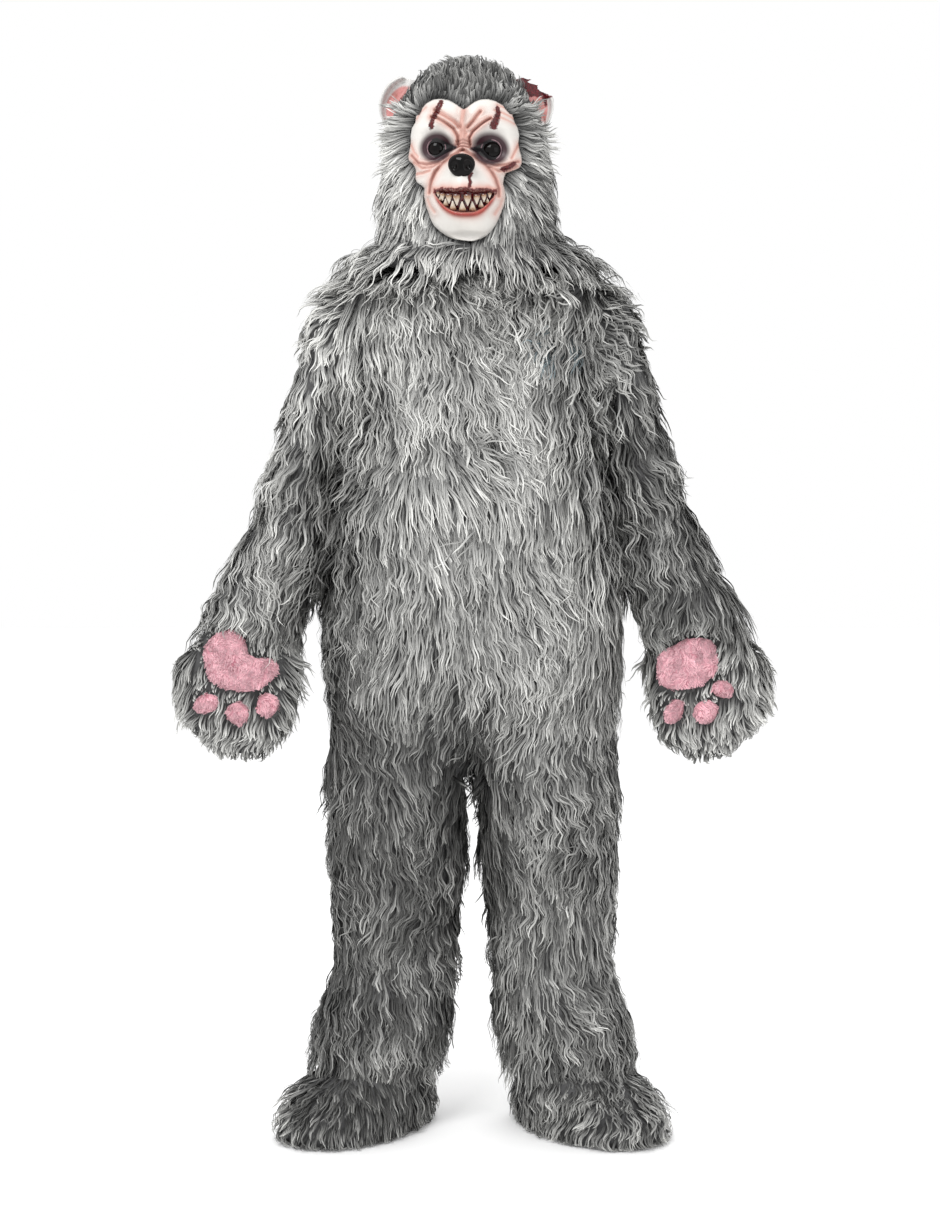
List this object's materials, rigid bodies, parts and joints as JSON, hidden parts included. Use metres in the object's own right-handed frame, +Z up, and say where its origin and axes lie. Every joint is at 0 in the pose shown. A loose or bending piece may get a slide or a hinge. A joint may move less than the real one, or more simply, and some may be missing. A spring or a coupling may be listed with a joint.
{
  "type": "mascot costume",
  "caption": "Adult's bear mascot costume worn standing: shaggy grey fur suit, hood, moulded bear mask, ears, paw mitts with pads, and boot covers.",
  "frame": {"origin": "midway between the wearer's shoulders, 1.440 m above the ground under the boots", "axes": "+Z up along the wearer's spine, -Y the way the bear's chest faces, +X towards the wearer's left hand"},
  "size_m": [1.0382, 0.392, 1.855],
  "materials": {
    "fur": "long shaggy pile, silvery tips",
    "mitt_fur": "long shaggy pile, darker",
    "latex": "satin, painted shading in the creases",
    "ear_skin": "satin",
    "gloss_black": "high gloss",
    "ivory": "gloss",
    "pink_plush": "short plush pile"
  },
  "bodies": {
    "root": {"torso_front_left": "fur", "torso_back_left": "fur", "sleeve_left": "fur", "leg_left": "fur", "boot_left": "fur", "hood_left": "fur", "mitt_palm_left": "mitt_fur", "mitt_back_left": "mitt_fur", "palm_pad_left": "pink_plush", "toe_pad_outer_left": "pink_plush", "toe_pad_middle_left": "pink_plush", "toe_pad_inner_left": "pink_plush", "eye_left": "gloss_black", "ear_left": "ear_skin", "torso_front_right": "fur", "torso_back_right": "fur", "sleeve_right": "fur", "leg_right": "fur", "boot_right": "fur", "hood_right": "fur", "mitt_palm_right": "mitt_fur", "mitt_back_right": "mitt_fur", "palm_pad_right": "pink_plush", "toe_pad_outer_right": "pink_plush", "toe_pad_middle_right": "pink_plush", "toe_pad_inner_right": "pink_plush", "eye_right": "gloss_black", "ear_right": "ear_skin", "mask": "latex", "nose": "gloss_black", "teeth_upper": "ivory", "teeth_lower": "ivory"}
  },
  "joints": []
}
